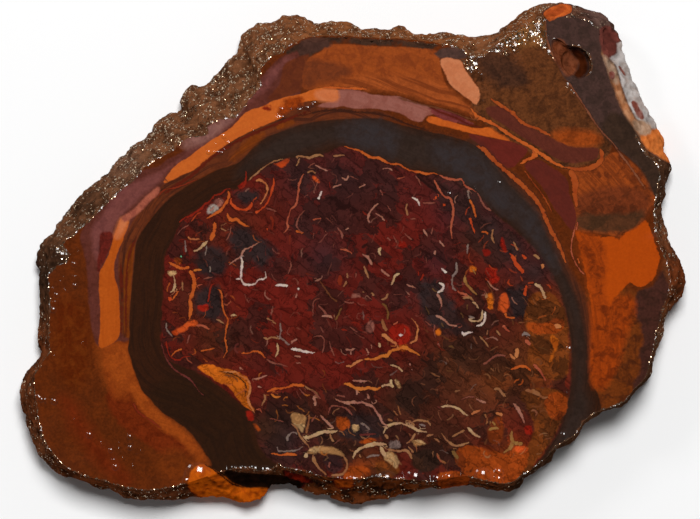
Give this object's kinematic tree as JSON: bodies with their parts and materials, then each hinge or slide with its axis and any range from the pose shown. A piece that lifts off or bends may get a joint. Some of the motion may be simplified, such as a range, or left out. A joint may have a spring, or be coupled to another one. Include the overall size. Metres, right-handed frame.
{
  "type": "rough opal nut slab",
  "caption": "Sawn slab of a boulder opal nut: a flat, wet-looking cut face with concentric ironstone bands and veined opal core, ringed by rough natural skin.",
  "frame": {"origin": "middle of the slab's outline, on its sawn back, where it rests", "axes": "+Z out of the sawn face, +X along the slab's length to the right of the picture, +Y to the picture's top"},
  "size_m": [0.0805, 0.0606, 0.007],
  "materials": {
    "banded_ironstone": "sawn and wet, glossy on the face and rough on the skin"
  },
  "bodies": {
    "root": {"opal_nut_slab": "banded_ironstone"}
  },
  "joints": []
}
